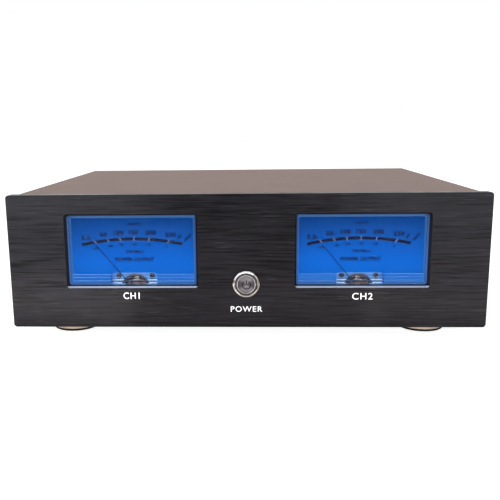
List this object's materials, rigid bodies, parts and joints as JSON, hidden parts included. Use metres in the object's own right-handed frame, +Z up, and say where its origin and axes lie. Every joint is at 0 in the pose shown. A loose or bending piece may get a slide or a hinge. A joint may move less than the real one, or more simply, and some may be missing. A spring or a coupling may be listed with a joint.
{
  "type": "two-channel analog power meter",
  "caption": "Full-width equipment case with two backlit moving-coil power meters, a push power switch and rear sockets.",
  "frame": {"origin": "on the ground under the middle of the whole object, halfway between the front of the switch cap and the back of the socket caps", "axes": "+X to the right seen from the front, +Y towards the back, +Z up"},
  "size_m": [0.43, 0.3324, 0.134],
  "materials": {
    "anodised_black": "black anodised, brushed lengthways",
    "cover_paint": "fine matte brown-black powder coat",
    "case_steel": "matte black powder coat",
    "screw_black": "blacked steel",
    "screw_steel": "zinc-plated steel",
    "foot_metal": "champagne anodised, turned",
    "rubber_black": "matte rubber",
    "housing_plastic": "moulded black",
    "lens_clear": "clear moulding",
    "dial_blue": "backlit translucent blue",
    "diffuser_white": "opal sheet",
    "board_green": "solder mask on laminate",
    "part_dark": "moulded component bodies",
    "winding_tape": "tape over copper wire",
    "iron_dark": "blacked soft iron",
    "magnet_grey": "ground magnet alloy",
    "bridge_light": "die-cast, matt",
    "copper_wire": "enamelled copper",
    "needle_dark": "lacquered dark",
    "spring_bronze": "phosphor bronze",
    "bezel_chrome": "polished",
    "cap_steel": "satin",
    "ring_smoke": "smoked translucent",
    "post_brass": "gold plated",
    "plastic_red": "moulded",
    "plastic_black": "moulded"
  },
  "bodies": {
    "chassis": {"front_panel": "anodised_black", "top_cover": "cover_paint", "base_pan": "case_steel", "rear_panel": "case_steel", "case_screws": "screw_black", "front_panel_screws": "screw_steel", "foot_pads": "rubber_black", "foot_screws": "screw_steel", "meter_screws": "screw_steel", "bridge_screws": "screw_black", "switch_body": "bezel_chrome", "switch_ring": "ring_smoke", "switch_nut": "screw_steel", "switch_spring": "spring_bronze", "switch_contacts": "part_dark", "driver_board": "board_green", "board_parts": "part_dark", "transformer": "winding_tape", "mains_inlet": "plastic_black", "inlet_pins": "post_brass", "post_bases": "post_brass", "post_insulators": "plastic_black", "level_pots": "screw_steel", "foot_front_left": "foot_metal", "foot_rear_left": "foot_metal", "foot_front_right": "foot_metal", "foot_rear_right": "foot_metal", "left_meter_case": "housing_plastic", "left_meter_cover": "lens_clear", "left_dial_plate": "dial_blue", "left_diffuser": "diffuser_white", "left_led_board": "board_green", "left_yoke": "iron_dark", "left_core": "magnet_grey", "left_front_bridge": "bridge_light", "left_rear_bridge": "bridge_light", "left_hairsprings": "spring_bronze", "right_meter_case": "housing_plastic", "right_meter_cover": "lens_clear", "right_dial_plate": "dial_blue", "right_diffuser": "diffuser_white", "right_led_board": "board_green", "right_yoke": "iron_dark", "right_core": "magnet_grey", "right_front_bridge": "bridge_light", "right_rear_bridge": "bridge_light", "right_hairsprings": "spring_bronze"},
    "left_movement": {"left_coil": "copper_wire", "left_pointer": "needle_dark"},
    "left_zero": {"left_zero_adjuster": "plastic_black"},
    "right_movement": {"right_coil": "copper_wire", "right_pointer": "needle_dark"},
    "right_zero": {"right_zero_adjuster": "plastic_black"},
    "power_cap": {"switch_cap": "cap_steel"},
    "left_minus_nut": {"left_minus_cap": "plastic_black"},
    "left_plus_nut": {"left_plus_cap": "plastic_red"},
    "right_minus_nut": {"right_minus_cap": "plastic_black"},
    "right_plus_nut": {"right_plus_cap": "plastic_red"},
    "left_level": {"left_level_shaft": "screw_steel"},
    "right_level": {"right_level_shaft": "screw_steel"}
  },
  "joints": [
    {"name": "left_needle", "type": "hinge", "parent": "chassis", "child": "left_movement", "pos_m": [-0.1035, -0.1348, 0.0443], "axis": [0, 1, 0], "range_deg": [-9, 86], "stiffness_Nm_per_rad": 0.00002, "deforming": ["left_hairsprings"]},
    {"name": "right_needle", "type": "hinge", "parent": "chassis", "child": "right_movement", "pos_m": [0.1035, -0.1348, 0.0443], "axis": [0, 1, 0], "range_deg": [-9, 86], "stiffness_Nm_per_rad": 0.00002, "deforming": ["right_hairsprings"]},
    {"name": "power_press", "type": "slide", "parent": "chassis", "child": "power_cap", "axis": [0, 1, 0], "range_m": [0, 0.0025], "stiffness_N_per_m": 400, "deforming": ["switch_spring"]},
    {"name": "left_zero_turn", "type": "hinge", "parent": "chassis", "child": "left_zero", "pos_m": [-0.1035, -0.1158, 0.0443], "axis": [0, 1, 0], "range_deg": [-15, 15]},
    {"name": "right_zero_turn", "type": "hinge", "parent": "chassis", "child": "right_zero", "pos_m": [0.1035, -0.1158, 0.0443], "axis": [0, 1, 0], "range_deg": [-15, 15]},
    {"name": "left_minus_unscrew", "type": "hinge", "parent": "chassis", "child": "left_minus_nut", "pos_m": [-0.16, 0.1562, 0.072], "axis": [0, 1, 0], "range_deg": [0, 1080]},
    {"name": "left_plus_unscrew", "type": "hinge", "parent": "chassis", "child": "left_plus_nut", "pos_m": [-0.14095, 0.1562, 0.072], "axis": [0, 1, 0], "range_deg": [0, 1080]},
    {"name": "right_minus_unscrew", "type": "hinge", "parent": "chassis", "child": "right_minus_nut", "pos_m": [-0.1, 0.1562, 0.072], "axis": [0, 1, 0], "range_deg": [0, 1080]},
    {"name": "right_plus_unscrew", "type": "hinge", "parent": "chassis", "child": "right_plus_nut", "pos_m": [-0.08095, 0.1562, 0.072], "axis": [0, 1, 0], "range_deg": [0, 1080]},
    {"name": "left_level_turn", "type": "hinge", "parent": "chassis", "child": "left_level", "pos_m": [-0.15047, 0.1422, 0.1], "axis": [0, 1, 0], "range_deg": [-150, 150]},
    {"name": "right_level_turn", "type": "hinge", "parent": "chassis", "child": "right_level", "pos_m": [-0.09047, 0.1422, 0.1], "axis": [0, 1, 0], "range_deg": [-150, 150]}
  ]
}
